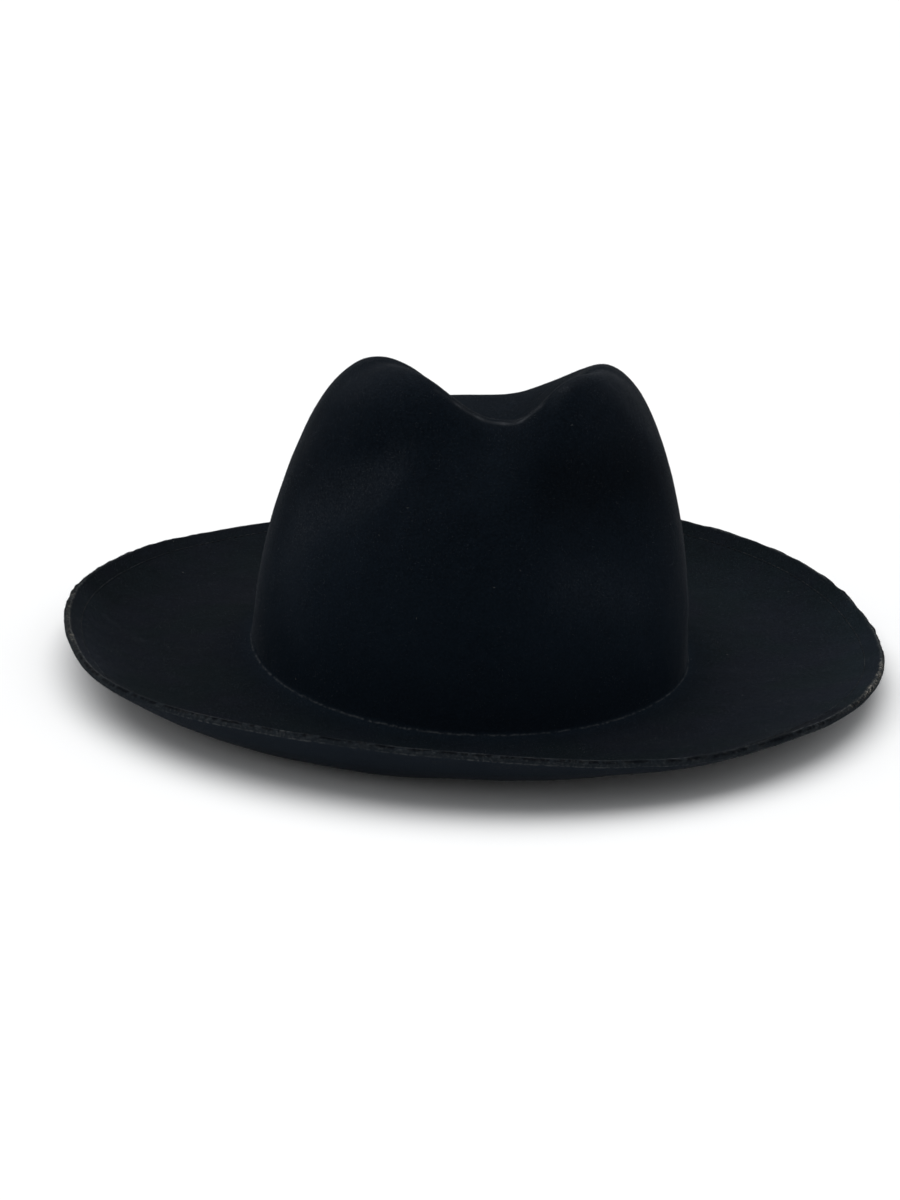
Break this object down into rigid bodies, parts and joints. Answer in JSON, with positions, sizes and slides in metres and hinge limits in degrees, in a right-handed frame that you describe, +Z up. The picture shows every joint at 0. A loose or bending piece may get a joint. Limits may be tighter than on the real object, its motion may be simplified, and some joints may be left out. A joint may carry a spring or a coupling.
{
  "type": "felt fedora hat",
  "caption": "Wide-brimmed black felt fedora with a centre crease, two front dents and a raw-cut, turned-up brim.",
  "frame": {"origin": "middle of the hat's box in X and Y, on the surface that the brim's belly rests on", "axes": "+Z up through the crown, -Y towards the front of the hat, +X towards the right of the front view"},
  "size_m": [0.3192, 0.3576, 0.1271],
  "materials": {
    "black_felt": "matt black wool felt with a short nap"
  },
  "bodies": {
    "root": {"felt_body": "black_felt"}
  },
  "joints": []
}
